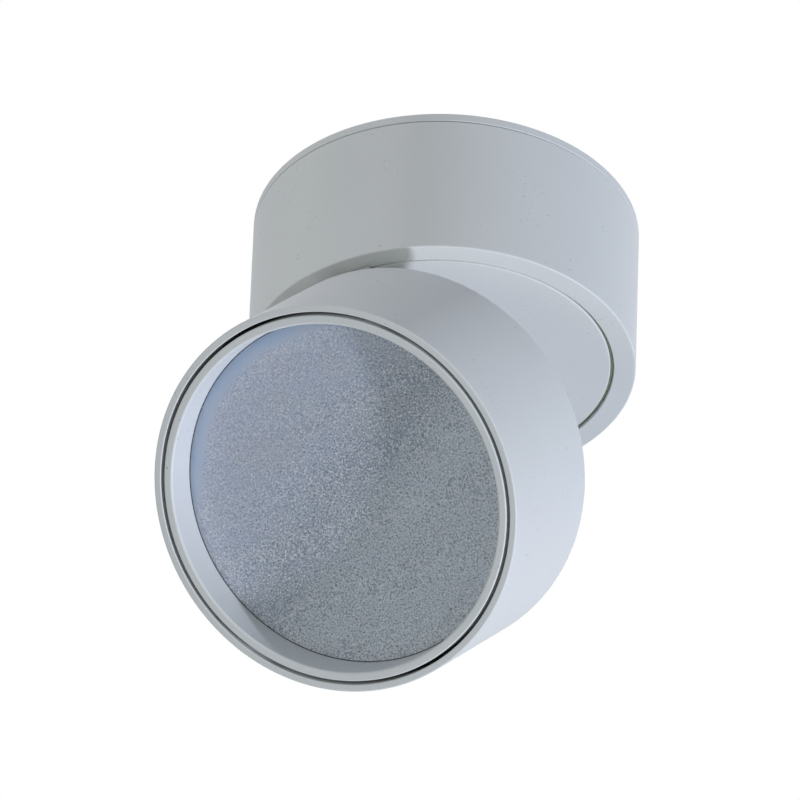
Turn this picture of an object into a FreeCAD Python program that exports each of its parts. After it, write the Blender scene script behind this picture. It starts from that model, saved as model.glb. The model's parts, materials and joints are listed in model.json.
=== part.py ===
import FreeCAD, Part
import math
import os

from FreeCAD import Placement, Rotation, Vector

# A surface mounted ceiling spotlight: a round base on the ceiling, a turntable let into its
# underside and a round head hinged at the turntable's edge. Millimetres and degrees.
# The origin is the middle of the face that lies on the ceiling, and +Z points up, so all of the
# light lies below z = 0. The head leans out towards -Y, and the hinge axis is parallel to X.

# ---------------------------------------------------------------- driving dimensions

body_r = 50.0              # outer radius shared by the base and the head
base_h = 43.0              # ceiling to the underside of the base
head_len = 43.5            # length of the head along its own axis
head_gap = 9.5             # base to head when the head points straight down
rest_tilt = 43.8           # lean of the head as stored, from straight down
edge_bevel = 0.3           # small bevel on the outer edges

# hinge
hinge_inset = 5.25         # hinge axis, in from the base's side
hinge_drop = 6.2           # hinge axis below the underside of the base
hinge_pin_r = 1.5
hinge_ear_r = 2.95
hinge_ear_w = 5.4          # width of each ear of the yoke
hinge_ear_tip = 0.3        # outer corner of an ear's top, out from the hinge axis
hinge_lug_w = 4.4          # width of the head's lug, between the ears
hinge_washer_t = 0.3
hinge_nut_r = 2.88         # to the corners
hinge_nut_h = 2.0
hinge_bolt_head_r = 2.6
hinge_bolt_tail = 2.8      # threaded end beyond the ear

# clearances and fits
run_fit = 0.05             # radial clearance of a pin that turns in its hole
seat_fit = 0.02            # radial clearance of a thread or a pressed piece
free_fit = 0.3             # radial clearance of a piece that drops into its place
ear_clear = 0.4            # ear of the yoke to the underside of the base

# ceiling plate
plate_t = 2.5
spigot_wall = 2.0
spigot_h = 6.0
slot_spacing = 72.0
slot_len = 12.0
slot_w = 4.5
entry_clear = 3.2          # cable grommet's flange to the spigot
entry_hole_r = 6.5
entry_bore_r = 4.0
entry_lip = 2.0            # grommet's flange, beyond its hole
entry_lip_t = 1.5
hook_w = 8.0
hook_t = 1.4
hook_reach = 1.2           # how far a hook reaches into the can's wall
lock_az = 125.0            # set screw, counter-clockwise from +X, seen from above

# base can
can_wall = 3.0
rim_w = 5.7
rim_t = 3.0
circlip_t = 1.2
circlip_depth = 1.0        # how far the circlip reaches into the can's wall
circlip_w = 2.6
circlip_gap = 14.0         # opening of the circlip
circlip_eye_r = 2.2

# turntable
groove_w = 0.8             # open groove between the rim and the disc
disc_recess = 0.3          # disc above the underside of the rim
disc_floor = 2.5
disc_wall = 2.0
flange_t = 2.0
flange_clear = 0.8         # flange to the can's bore
lower_ring_t = 1.0
ring_lip_clear = 0.1       # lower slide ring's lip to the rim and to the disc
ring_lip_back = 0.5        # edge of that lip, above the disc's underside
upper_ring_t = 0.8
ring_inset = 0.3           # upper slide ring, back from the flange's inner side
wire_hole_r = 5.0
wire_hole_gap = 5.5        # grommet's flange to the yoke's foot
wire_bore_r = 3.0
wire_lip = 1.5             # grommet's flanges, beyond their hole
wire_lip_t = 1.0
stop_r = 2.0               # radius of both stop pins
stop_clear = 1.25          # moving stop pin to the dish's wall
stop_overlap = 3.4         # height over which the two stop pins meet
stop_foot_r = 1.5

# hinge yoke and lug
yoke_foot_t = 3.6
yoke_foot_w = 24.0
yoke_foot_len = 20.0
yoke_inset = 1.2           # yoke's foot, back from the edge of the disc
yoke_screw_edge = 1.0      # heads of the yoke's and the lug's screws to the edges of their feet
lug_foot_t = 3.0
lug_foot_w = 18.0
lug_foot_len = 16.5
lug_foot_back = 4.2        # lug's foot, back from the hinge axis

# head shell
shell_back = 4.0
shell_wall = 1.85          # at the front edge
shell_thick = 3.5          # behind the bezel
head_hole_gap = 4.5        # grommet's flange to the lug's foot
post_r = 4.0
post_clear = 1.5           # posts to the shell's bore
post_len = 8.0
post_angles = (30.0, 150.0, 270.0)

# bezel, diffuser and reflector
ring_gap = 0.9             # dark groove between the shell and the bezel
ring_gap_depth = 7.0
seal_t = 1.2
bezel_face = 2.25          # flat front face of the bezel
recess_depth = 9.8         # front edge to the diffuser
recess_taper = 0.3         # how much narrower the recess is at the diffuser
bezel_len = 14.5
bezel_fit = 0.1            # bezel's skirt in the shell
diffuser_t = 2.0
diffuser_lap = 1.3         # diffuser beyond the recess
pocket_fit = 0.2           # diffuser in its pocket
gasket_t = 0.8
gasket_w = 1.6
reflector_wall = 1.2
reflector_clear = 0.55     # collar to the board's screw heads
reflector_collar_h = 5.0   # straight part, past the LED board's connector and screws

# heat sink and LED board
sink_t = 3.0
sink_fit = 0.3
fin_t = 1.5
fin_pitch = 6.0
fin_h = 6.6
fin_inset = 1.0            # fins, back from the plate's edge
fin_clear = 1.0            # fins to posts, grommet and screws
wire_notch_r = 3.5
pad_t = 0.5
board_clear = 2.25         # board's edge to the heat sink's screw heads
board_t = 1.6
board_screw_inset = 3.5    # board's screws, in from its edge
led_size = 3.0
led_t = 0.8
led_pitch = 9.5            # from one ring of LEDs to the next
led_edge = 4.0             # outermost LEDs to the collar, at least
connector_w = 9.0
connector_d = 5.0
connector_h = 4.0
connector_inset = 1.0      # connector, in from the board's edge
connector_bore_r = 0.8
connector_bore_depth = 4.0

# driver
driver_len = 54.0
driver_w = 26.0
driver_h = 18.0
driver_clear = 3.6         # driver's outer corners to the spigot
driver_wall = 1.5
driver_lid_t = 1.6
driver_ear = 5.0           # ear hole, out from the end of the driver
driver_ear_r = 4.0
driver_board_t = 1.6
driver_board_gap = 3.0     # lid to board
transformer_len = 14.4
transformer_w = 15.6
transformer_h = 9.8
capacitor_r = 4.4
capacitor_h = 11.0
capacitor_pitch = 10.4
inductor_r = 5.2
inductor_h = 7.4
chip_len = 4.0
chip_w = 2.6
chip_h = 1.2
chip_pitch = 15.6
driver_bay = 9.0           # capacitors and inductor, in from the ends of the case
out_block_len = 7.0
out_block_w = 12.0
out_block_h = 8.0
out_block_drop = 5.0
out_wire_r = 1.2
out_wire_depth = 5.0
out_wire_pitch = 6.0

# terminals and cable clamp
block_len = 30.0
block_w = 16.0
block_h = 14.0
block_poles = 3
block_wire_r = 2.0
block_well = 7.0           # depth of each clamping screw's well
block_screw_sink = 3.5     # foot of a clamping screw's head below the block's face
block_screw_len = 2.5
block_fixing_head_r = 2.2
earth_az = 142.5           # earth screw, counter-clockwise from +X, seen from above
earth_clear = 7.9          # earth tag's eye to the spigot
earth_eye_r = 4.0
earth_t = 0.8
earth_blade_len = 9.0
earth_blade_w = 6.3
clamp_y = 23.0
clamp_clear = 1.6          # clamp's outer corner to the spigot
clamp_len = 18.0
clamp_w = 7.0
clamp_h = 6.0
clamp_bore_r = 3.3
clamp_edge = 2.75          # screws, in from the clamp's ends

# screws: thread radius, head radius, head height, key radius
m3 = (1.5, 2.75, 2.0, 1.2)
m3_flat = (1.5, 2.9, 1.7, 1.1)
m25 = (1.25, 2.3, 1.6, 0.95)
m4 = (2.0, 3.6, 2.4, 1.5)
m3_set = (1.5, 1.5, 0.0, 0.9)
key_depth = 1.0
head_round = 0.8           # rounding of a raised screw head

# ---------------------------------------------------------------- worked out from them

base_floor = -base_h
can_bore_r = body_r - can_wall
rim_in_r = body_r - rim_w
disc_r = rim_in_r - groove_w
disc_under = base_floor + disc_recess
disc_top = disc_under + disc_floor
flange_r = can_bore_r - flange_clear
flange_under = base_floor + rim_t + lower_ring_t
flange_top = flange_under + flange_t
upper_ring_top = flange_top + upper_ring_t
circlip_out_r = can_bore_r + circlip_depth
circlip_in_r = circlip_out_r - circlip_w - circlip_depth
spigot_r = can_bore_r - free_fit
spigot_in_r = spigot_r - spigot_wall
stop_orbit = disc_r - disc_wall - stop_clear - stop_r
pin_top = disc_top + stop_overlap + disc_floor

head_top = base_floor - head_gap
hinge_y = hinge_inset - body_r
hinge_z = base_floor - hinge_drop
ear_in_x = hinge_lug_w / 2 + hinge_washer_t
ear_out_x = ear_in_x + hinge_ear_w
wire_lip_r = wire_hole_r + wire_lip
yoke_end_y = yoke_foot_len + yoke_inset - disc_r
lug_near_y = hinge_y + lug_foot_back
wire_hole_y = yoke_end_y + wire_hole_gap + wire_lip_r
head_hole_y = lug_near_y + lug_foot_len + head_hole_gap + wire_lip_r

shell_bore_r = body_r - shell_wall
shell_rear_bore_r = body_r - shell_thick
bezel_r = shell_bore_r - ring_gap
recess_r = bezel_r - bezel_face
recess_in_r = recess_r - recess_taper
diffuser_r = recess_in_r + diffuser_lap
head_front = head_top - head_len
diffuser_front = head_front + recess_depth
diffuser_back = diffuser_front + diffuser_t
gasket_back = diffuser_back + gasket_t
sink_rear = head_top - shell_back - post_len
sink_front = sink_rear - sink_t
board_rear = sink_front - pad_t
board_front = board_rear - board_t
sink_r = shell_rear_bore_r - sink_fit
post_orbit = shell_rear_bore_r - post_clear - post_r
board_r = post_orbit - m3[1] - board_clear
board_screw_orbit = board_r - board_screw_inset
reflector_back_r = board_screw_orbit - m3[1] - reflector_clear - reflector_wall
connector_y = board_r - connector_inset - connector_d / 2

entry_lip_r = entry_hole_r + entry_lip
entry_y = spigot_in_r - entry_clear - entry_lip_r
driver_far_y = -math.sqrt((spigot_in_r - driver_clear) ** 2 - (driver_len / 2) ** 2)
driver_y = driver_far_y + driver_w / 2
driver_lid_under = -plate_t - driver_lid_t
driver_floor = driver_lid_under - driver_h
block_y = (driver_y + driver_w / 2 + entry_y - entry_lip_r) / 2
clamp_far_y = clamp_y + clamp_w / 2
clamp_x = math.sqrt((spigot_in_r - clamp_clear) ** 2 - clamp_far_y ** 2) - clamp_len / 2
earth_x = (spigot_in_r - earth_clear - earth_eye_r) * math.cos(math.radians(earth_az))
earth_y = (spigot_in_r - earth_clear - earth_eye_r) * math.sin(math.radians(earth_az))


# ---------------------------------------------------------------- shape helpers

def cylinder(radius, low, high, x=0.0, y=0.0):
    """Upright cylinder between two heights."""
    return Part.makeCylinder(radius, high - low, Vector(x, y, low))


def ring(outer, inner, low, high, x=0.0, y=0.0):
    """Upright tube between two heights."""
    return cylinder(outer, low, high, x, y).cut(cylinder(inner, low - 1, high + 1, x, y))


def block(size, x, y, low):
    """Box centred on x and y that stands on a height."""
    return Part.makeBox(size[0], size[1], size[2], Vector(x - size[0] / 2, y - size[1] / 2, low))


def turned(points):
    """Solid turned about Z from (radius, height) points."""
    wire = Part.makePolygon([Vector(r, 0, z) for r, z in points + points[:1]])
    return Part.Face(wire).revolve(Vector(0, 0, 0), Vector(0, 0, 1), 360)


def stadium(length, width, low, high, x, y):
    """Slot-shaped prism along X, its length measured over the round ends."""
    half = (length - width) / 2
    ends = [cylinder(width / 2, low, high, x + side * half, y) for side in (-1, 1)]
    return block((2 * half, width, high - low), x, y, low).fuse(ends).removeSplitter()


def at_angle(shape, degrees):
    """Copy turned about Z."""
    copy = shape.copy()
    copy.rotate(Vector(0, 0, 0), Vector(0, 0, 1), degrees)
    return copy


def polar(radius, degrees):
    """Point in plan at a radius and an angle from +X."""
    return (radius * math.cos(math.radians(degrees)), radius * math.sin(math.radians(degrees)))


def hexagon(radius, low, high):
    """Upright hexagonal prism, its radius measured to the corners."""
    corners = [Vector(*polar(radius, 60 * k), low) for k in range(7)]
    return Part.Face(Part.makePolygon(corners)).extrude(Vector(0, 0, high - low))


def screw(kind, length, flat=False):
    """Screw that points down: its head bears on z = 0, or is flush with it when it is flat."""
    thread_r, head_r, head_h, key_r = kind
    shank = cylinder(thread_r, -length, 0)
    if flat:
        body = shank.fuse(Part.makeCone(thread_r, head_r, head_h, Vector(0, 0, -head_h)))
        top = 0.0
    elif head_h > 0:
        head = cylinder(head_r, 0, head_h)
        rim = [edge for edge in head.Edges if edge.BoundBox.ZMin > head_h - 0.01 and edge.Closed]
        body = shank.fuse(head.makeFillet(head_round, rim[:1]))
        top = head_h
    else:
        body = shank
        top = 0.0
    return body.cut(hexagon(key_r, top - key_depth, top + 1)).removeSplitter()


def placed(shape, spot, towards=(0, 0, -1)):
    """Copy moved to a point and pointed along a direction; it is drawn pointing down."""
    copy = shape.copy()
    copy.Placement = Placement(Vector(*spot), Rotation(Vector(0, 0, -1), Vector(*towards)))
    return copy


def countersink(kind, x, y, face, depth, towards):
    """Cutter for a flat head flush with a face, and its thread hole down to a depth."""
    thread_r, head_r, head_h, _ = kind
    hole = cylinder(thread_r + seat_fit, -depth, 0)
    cone = Part.makeCone(thread_r + seat_fit, head_r + seat_fit, head_h, Vector(0, 0, -head_h))
    return placed(hole.fuse(cone), (x, y, face), (0, 0, towards))


def grommet(radii, low, high, lip_t, y, both=True):
    """Bushing in a hole at y, from bore, neck and flange radii; the upper flange may be left out."""
    bore_r, neck_r, lip_r = radii
    body = cylinder(neck_r, low, high, 0, y).fuse(cylinder(lip_r, low - lip_t, low, 0, y))
    if both:
        body = body.fuse(cylinder(lip_r, high, high + lip_t, 0, y))
    bore = cylinder(bore_r, low - lip_t - 1, high + lip_t + 1, 0, y)
    return body.cut(bore).removeSplitter()


wire_grommet_radii = (wire_bore_r, wire_hole_r - seat_fit, wire_lip_r)
entry_grommet_radii = (entry_bore_r, entry_hole_r - seat_fit, entry_lip_r)


# ---------------------------------------------------------------- base

def slot_centres():
    return [(side * slot_spacing / 2, 0.0) for side in (-1, 1)]


def driver_ear_centres():
    return [(side * (driver_len / 2 + driver_ear), driver_y) for side in (-1, 1)]


def clamp_screw_centres():
    reach = clamp_len / 2 - clamp_edge
    return [(clamp_x + side * reach, clamp_y) for side in (-1, 1)]


def block_screw_centres():
    pitch = block_len / block_poles
    return [((k + 0.5 - block_poles / 2) * pitch, block_y) for k in range(block_poles)]


def block_fixing_centres():
    pitch = block_len / block_poles
    return [(side * pitch / 2, block_y) for side in (-1, 1)]


def hook_angles():
    return [lock_az + 120.0, lock_az + 240.0]


lock_z = -plate_t - spigot_h / 2


def lock_direction():
    x, y = polar(1.0, lock_az)
    return (-x, -y, 0)


def lock_hole(radius):
    """Radial cutter on the set screw's axis, from outside the can to inside the spigot."""
    hole = Part.makeCylinder(radius, 2 * can_wall + spigot_wall + 2)
    start = polar(body_r + 2, lock_az)
    hole.Placement = Placement(Vector(start[0], start[1], lock_z),
                               Rotation(Vector(0, 0, 1), Vector(*lock_direction())))
    return hole


def hook(extra=0.0):
    """Lug that stands out from the spigot along +X, or its pocket when it is made larger."""
    inner = spigot_r - spigot_wall / 2
    outer = can_bore_r + hook_reach + extra
    size = (outer - inner, hook_w + 2 * extra, hook_t + 2 * extra)
    return block(size, (outer + inner) / 2, 0, lock_z - size[2] / 2)


def make_ceiling_plate():
    """Disc with a spigot that centres the can, two fixing slots and the cable entry."""
    shape = turned([(0, -plate_t), (0, 0), (body_r - edge_bevel, 0), (body_r, -edge_bevel),
                    (body_r, -plate_t + edge_bevel), (body_r - edge_bevel, -plate_t)])
    shape = shape.fuse(ring(spigot_r, spigot_in_r, -plate_t - spigot_h, -plate_t))
    shape = shape.fuse([at_angle(hook(), angle) for angle in hook_angles()])
    cutters = [stadium(slot_len, slot_w, -plate_t - 1, 1, x, y) for x, y in slot_centres()]
    cutters.append(cylinder(entry_hole_r, -plate_t - 1, 1, 0, entry_y))
    holes = driver_ear_centres() + clamp_screw_centres() + block_fixing_centres()
    for x, y in holes:
        cutters.append(cylinder(m3[0] + seat_fit, -plate_t - 1, 1, x, y))
    cutters.append(cylinder(m4[0] + seat_fit, -plate_t - 1, 1, earth_x, earth_y))
    cutters.append(cylinder(stop_foot_r + seat_fit, -plate_t - 1, 1, 0, -stop_orbit))
    cutters.append(lock_hole(m3_set[0] + seat_fit))
    return shape.cut(cutters).removeSplitter()


def make_base_can():
    """Open can with an inward rim at its lower end and a circlip groove above it."""
    low_groove = upper_ring_top - run_fit
    high_groove = upper_ring_top + circlip_t + run_fit
    top = -plate_t
    groove_r = circlip_out_r + run_fit
    shape = turned([(rim_in_r, base_floor), (body_r - edge_bevel, base_floor),
                    (body_r, base_floor + edge_bevel), (body_r, top - edge_bevel),
                    (body_r - edge_bevel, top), (can_bore_r, top), (can_bore_r, high_groove),
                    (groove_r, high_groove), (groove_r, low_groove), (can_bore_r, low_groove),
                    (can_bore_r, base_floor + rim_t), (rim_in_r, base_floor + rim_t)])
    pockets = [at_angle(hook(run_fit), angle) for angle in hook_angles()]
    return shape.cut(pockets + [lock_hole(m3_set[0] + seat_fit)]).removeSplitter()


def make_can_set_screw():
    """Headless screw through the can's wall into the spigot, just below the surface."""
    length = can_wall + free_fit + spigot_wall - edge_bevel
    start = polar(body_r - edge_bevel, lock_az)
    return placed(screw(m3_set, length), (start[0], start[1], lock_z), lock_direction())


def make_entry_grommet():
    """Rubber bushing in the cable entry, flush with the ceiling face."""
    return grommet(entry_grommet_radii, -plate_t, 0, entry_lip_t, entry_y, both=False)


def make_lower_slide_ring():
    """Plastic ring on the rim, which carries the flange, with a lip down between rim and disc."""
    lip_in_r = disc_r + ring_lip_clear
    lip = ring(rim_in_r - ring_lip_clear, lip_in_r, disc_under + ring_lip_back, flange_under)
    seat = ring(flange_r, lip_in_r, base_floor + rim_t, flange_under)
    return lip.fuse(seat).removeSplitter()


def make_upper_slide_ring():
    """Plastic ring between the flange and the circlip."""
    return ring(flange_r, rim_in_r + ring_inset, flange_top, upper_ring_top)


def make_circlip():
    """Inner retaining ring, open on the +Y side, with an eye at each end."""
    low = upper_ring_top
    high = low + circlip_t
    shape = ring(circlip_out_r, circlip_in_r, low, high)
    reach = 2 * body_r
    half = circlip_gap / 2
    corners = [Vector(0, 0, low - 1), Vector(*polar(reach, 90 - half), low - 1),
               Vector(*polar(reach, 90 + half), low - 1), Vector(0, 0, low - 1)]
    wedge = Part.Face(Part.makePolygon(corners)).extrude(Vector(0, 0, circlip_t + 2))
    shape = shape.cut(wedge)
    eye_orbit = circlip_in_r + circlip_eye_r / 2
    for side in (-1, 1):
        turn = math.degrees(circlip_eye_r / eye_orbit)
        x, y = polar(eye_orbit, 90 + side * (half + turn))
        shape = shape.fuse(cylinder(circlip_eye_r, low, high, x, y))
        shape = shape.cut(cylinder(circlip_eye_r / 2, low - 1, high + 1, x, y))
    return shape.removeSplitter()


def make_stop_post():
    """Fixed pin that hangs from the plate and ends the turntable's travel."""
    post = cylinder(stop_r, pin_top - stop_overlap, -plate_t, 0, -stop_orbit)
    return post.fuse(cylinder(stop_foot_r, -plate_t, -edge_bevel, 0, -stop_orbit))


def make_driver_lid():
    """Flat lid against the plate, with an ear and a screw hole at each end."""
    shape = block((driver_len, driver_w, driver_lid_t), 0, driver_y, driver_lid_under)
    for x, y in driver_ear_centres():
        neck = block((driver_ear, 2 * driver_ear_r, driver_lid_t),
                     x - math.copysign(driver_ear / 2, x), y, driver_lid_under)
        shape = shape.fuse([neck, cylinder(driver_ear_r, driver_lid_under, -plate_t, x, y)])
    holes = [cylinder(m3[0] + run_fit, driver_lid_under - 1, 0, x, y)
             for x, y in driver_ear_centres()]
    return shape.cut(holes).removeSplitter()


def make_driver_case():
    """Open box under the lid."""
    outer = block((driver_len, driver_w, driver_h), 0, driver_y, driver_floor)
    inner = block((driver_len - 2 * driver_wall, driver_w - 2 * driver_wall, driver_h),
                  0, driver_y, driver_floor + driver_wall)
    return outer.cut(inner)


def driver_board_under():
    return driver_lid_under - driver_board_gap - driver_board_t


def make_driver_board():
    """Circuit board held between the long walls of the case."""
    size = (driver_len - 2 * driver_wall - 2 * seat_fit, driver_w - 2 * driver_wall - 2 * seat_fit,
            driver_board_t)
    return block(size, 0, driver_y, driver_board_under())


def make_driver_parts():
    """Transformer, two capacitors, an inductor and a row of chips under the board."""
    top = driver_board_under()
    core = (transformer_len, transformer_w, transformer_h)
    chip = (chip_len, chip_w, chip_h)
    bay = driver_len / 2 - driver_bay
    pieces = [block(core, 0, driver_y, top - transformer_h),
              cylinder(inductor_r, top - inductor_h, top, bay, driver_y)]
    for side in (-1, 1):
        pieces.append(cylinder(capacitor_r, top - capacitor_h, top, -bay,
                               driver_y + side * capacitor_pitch / 2))
        pieces.append(block(chip, bay, driver_y + side * chip_pitch / 2, top - chip_h))
    return Part.makeCompound(pieces)


def make_driver_terminal():
    """Output terminal on the end wall of the driver, with two wire holes."""
    end = driver_len / 2 + out_block_len
    low = driver_lid_under - out_block_drop - out_block_h
    size = (out_block_len, out_block_w, out_block_h)
    shape = block(size, end - out_block_len / 2, driver_y, low)
    for side in (-1, 1):
        mouth = Vector(end, driver_y + side * out_wire_pitch / 2, low + out_block_h / 2)
        hole = Part.makeCylinder(out_wire_r, out_wire_depth, mouth, Vector(-1, 0, 0))
        shape = shape.cut(hole)
    return shape


def make_driver_screws():
    """Two screws through the lid's ears into the plate."""
    length = driver_lid_t + plate_t - edge_bevel
    return Part.makeCompound([placed(screw(m3, length), (x, y, driver_lid_under), (0, 0, 1))
                              for x, y in driver_ear_centres()])


def make_terminal_block():
    """Three pole block: a screw hole from below and a wire hole from the front for each pole."""
    low = -plate_t - block_h
    shape = block((block_len, block_w, block_h), 0, block_y, low)
    for x, y in block_screw_centres():
        shape = shape.cut(cylinder(m25[1] + run_fit, low - 1, low + block_well, x, y))
        wire = Part.makeCylinder(block_wire_r, block_w + 2,
                                 Vector(x, y - block_w / 2 - 1, low + block_well),
                                 Vector(0, 1, 0))
        shape = shape.cut(wire)
    for x, y in block_fixing_centres():
        shape = shape.cut(cylinder(m3[0] + run_fit, low - 1, 0, x, y))
    return shape.removeSplitter()


def make_terminal_screws():
    """The three clamping screws, sunk in the block."""
    foot = -plate_t - block_h + block_screw_sink
    shape = screw(m25, block_screw_len)
    return Part.makeCompound([placed(shape, (x, y, foot), (0, 0, 1))
                              for x, y in block_screw_centres()])


def make_terminal_fixings():
    """Two long screws that hold the block to the plate."""
    low = -plate_t - block_h
    length = block_h + plate_t - edge_bevel
    slim = (m3[0], block_fixing_head_r, m3[2], m3[3])
    return Part.makeCompound([placed(screw(slim, length), (x, y, low), (0, 0, 1))
                              for x, y in block_fixing_centres()])


def make_earth_tag():
    """Flat ring tag with a blade that points along -Y."""
    eye = cylinder(earth_eye_r, -plate_t - earth_t, -plate_t, earth_x, earth_y)
    blade = block((earth_blade_w, earth_blade_len, earth_t),
                  earth_x, earth_y - earth_blade_len / 2, -plate_t - earth_t)
    hole = cylinder(m4[0] + run_fit, -plate_t - earth_t - 1, 0, earth_x, earth_y)
    return eye.fuse(blade).cut(hole).removeSplitter()


def make_earth_screw():
    """Screw through the tag into the plate."""
    length = earth_t + plate_t - edge_bevel
    return placed(screw(m4, length), (earth_x, earth_y, -plate_t - earth_t), (0, 0, 1))


def make_cable_clamp():
    """Saddle that grips the supply cable against the plate."""
    shape = block((clamp_len, clamp_w, clamp_h), clamp_x, clamp_y, -plate_t - clamp_h)
    channel = Part.makeCylinder(clamp_bore_r, clamp_w + 2,
                                Vector(clamp_x, clamp_y - clamp_w / 2 - 1, -plate_t),
                                Vector(0, 1, 0))
    shape = shape.cut(channel)
    holes = [cylinder(m3[0] + run_fit, -plate_t - clamp_h - 1, 0, x, y)
             for x, y in clamp_screw_centres()]
    return shape.cut(holes)


def make_clamp_screws():
    """Two screws of the cable clamp."""
    length = clamp_h + plate_t - edge_bevel
    return Part.makeCompound([placed(screw(m3, length), (x, y, -plate_t - clamp_h), (0, 0, 1))
                              for x, y in clamp_screw_centres()])


# ---------------------------------------------------------------- turntable

def yoke_screw_centres():
    """Four screws of the yoke's foot, clear of its ears."""
    inset = m3_flat[1] + yoke_screw_edge
    near_y = lug_near_y + hinge_ear_r + yoke_screw_edge
    return [(side * (yoke_foot_w / 2 - inset), y)
            for side in (-1, 1) for y in (near_y, yoke_end_y - inset)]


def make_turntable_disc():
    """Shallow dish: flat disc below, a wall, and the flange that hangs on the slide ring."""
    shape = turned([(0, disc_under), (disc_r, disc_under), (disc_r, flange_under),
                    (flange_r, flange_under), (flange_r, flange_top),
                    (disc_r - disc_wall, flange_top), (disc_r - disc_wall, disc_top),
                    (0, disc_top)])
    cutters = [cylinder(wire_hole_r, disc_under - 1, disc_top + 1, 0, wire_hole_y),
               cylinder(stop_foot_r + seat_fit, disc_under + disc_floor / 4, disc_top + 1,
                        0, stop_orbit)]
    for x, y in yoke_screw_centres():
        cutters.append(cylinder(m3[0] + seat_fit, disc_under - 1, disc_top + 1, x, y))
    return shape.cut(cutters).removeSplitter()


def make_turntable_grommet():
    """Rubber bushing for the head's lead, through the disc."""
    return grommet(wire_grommet_radii, disc_under, disc_top, wire_lip_t, wire_hole_y)


def make_stop_pin():
    """Pin that stands on the disc and meets the fixed post at each end of the travel."""
    foot = cylinder(stop_foot_r, disc_under + disc_floor / 4 + seat_fit, disc_top, 0, stop_orbit)
    return foot.fuse(cylinder(stop_r, disc_top, pin_top, 0, stop_orbit))


def make_hinge_yoke():
    """Foot under the disc with two ears that reach out under the rim to the hinge axis.

    The outer side of an ear slopes from its top to where it touches the round boss.
    """
    foot_top = disc_under
    foot_low = disc_under - yoke_foot_t
    ear_top = base_floor - ear_clear
    edge_y = yoke_inset - disc_r
    far_y = yoke_end_y
    inner_y = lug_near_y + hinge_ear_r
    back_y = hinge_y + hinge_ear_r
    rise = Vector(0, -hinge_ear_tip, ear_top - hinge_z)
    turn = math.atan2(rise.z, rise.y) + math.acos(hinge_ear_r / rise.Length)
    touch = (hinge_y + hinge_ear_r * math.cos(turn), hinge_z + hinge_ear_r * math.sin(turn))
    outline = [(far_y, foot_top), (edge_y, foot_top), (edge_y, ear_top),
               (hinge_y - hinge_ear_tip, ear_top), touch, (hinge_y, hinge_z), (back_y, hinge_z),
               (inner_y - hinge_ear_r, foot_low), (far_y, foot_low)]
    wire = Part.makePolygon([Vector(-ear_out_x, y, z) for y, z in outline + outline[:1]])
    web = Part.Face(wire).extrude(Vector(2 * ear_out_x, 0, 0))
    boss = Part.makeCylinder(hinge_ear_r, 2 * ear_out_x, Vector(-ear_out_x, hinge_y, hinge_z),
                             Vector(1, 0, 0))
    foot_size = (yoke_foot_w, far_y - inner_y + hinge_ear_r, yoke_foot_t)
    foot = block(foot_size, 0, far_y - foot_size[1] / 2, foot_low)
    shape = web.fuse([boss, foot])
    slot = Part.makeBox(2 * ear_in_x, 2 * body_r, 2 * body_r,
                        Vector(-ear_in_x, inner_y - hinge_ear_r - 2 * body_r, hinge_z - body_r))
    pin = Part.makeCylinder(hinge_pin_r + seat_fit, 4 * ear_out_x,
                            Vector(-2 * ear_out_x, hinge_y, hinge_z), Vector(1, 0, 0))
    sinks = [countersink(m3_flat, x, y, foot_low, yoke_foot_t + 1, 1)
             for x, y in yoke_screw_centres()]
    return shape.cut([slot, pin] + sinks).removeSplitter()


def make_yoke_screws():
    """Flat headed screws up through the foot into the disc."""
    length = yoke_foot_t + disc_floor - edge_bevel
    low = disc_under - yoke_foot_t
    return Part.makeCompound([placed(screw(m3_flat, length, flat=True), (x, y, low), (0, 0, 1))
                              for x, y in yoke_screw_centres()])


def make_hinge_bolt():
    """Shoulder bolt through both ears, with its head on the +X side."""
    shoulder = 2 * ear_out_x
    body = cylinder(hinge_pin_r, -shoulder, 0)
    body = body.fuse([cylinder(m25[0], -shoulder - hinge_bolt_tail, 0),
                      cylinder(hinge_bolt_head_r, 0, m25[2])])
    body = body.cut(hexagon(m25[3], m25[2] - key_depth, m25[2] + 1)).removeSplitter()
    return placed(body, (ear_out_x, hinge_y, hinge_z), (-1, 0, 0))


def make_hinge_nut():
    """Hexagonal nut on the bolt's threaded end."""
    nut = hexagon(hinge_nut_r, 0, hinge_nut_h)
    nut = nut.cut(cylinder(m25[0] + seat_fit, -1, hinge_nut_h + 1))
    return placed(nut, (-ear_out_x, hinge_y, hinge_z), (1, 0, 0))


def make_hinge_washers():
    """Friction washers between the ears and the head's lug."""
    washers = []
    for x in (hinge_lug_w / 2, -ear_in_x):
        disc = Part.makeCylinder(hinge_ear_r, hinge_washer_t, Vector(x, hinge_y, hinge_z),
                                 Vector(1, 0, 0))
        hole = Part.makeCylinder(hinge_pin_r + seat_fit, 3 * hinge_washer_t,
                                 Vector(x - hinge_washer_t, hinge_y, hinge_z),
                                 Vector(1, 0, 0))
        washers.append(disc.cut(hole))
    return Part.makeCompound(washers)


# ---------------------------------------------------------------- head, drawn straight down

def lug_screw_centres():
    inset = m3_flat[1] + yoke_screw_edge
    return [(side * (lug_foot_w / 2 - inset), lug_near_y + lug_foot_len / 2)
            for side in (-1, 1)]


def post_centres():
    return [polar(post_orbit, angle) for angle in post_angles]


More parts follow.
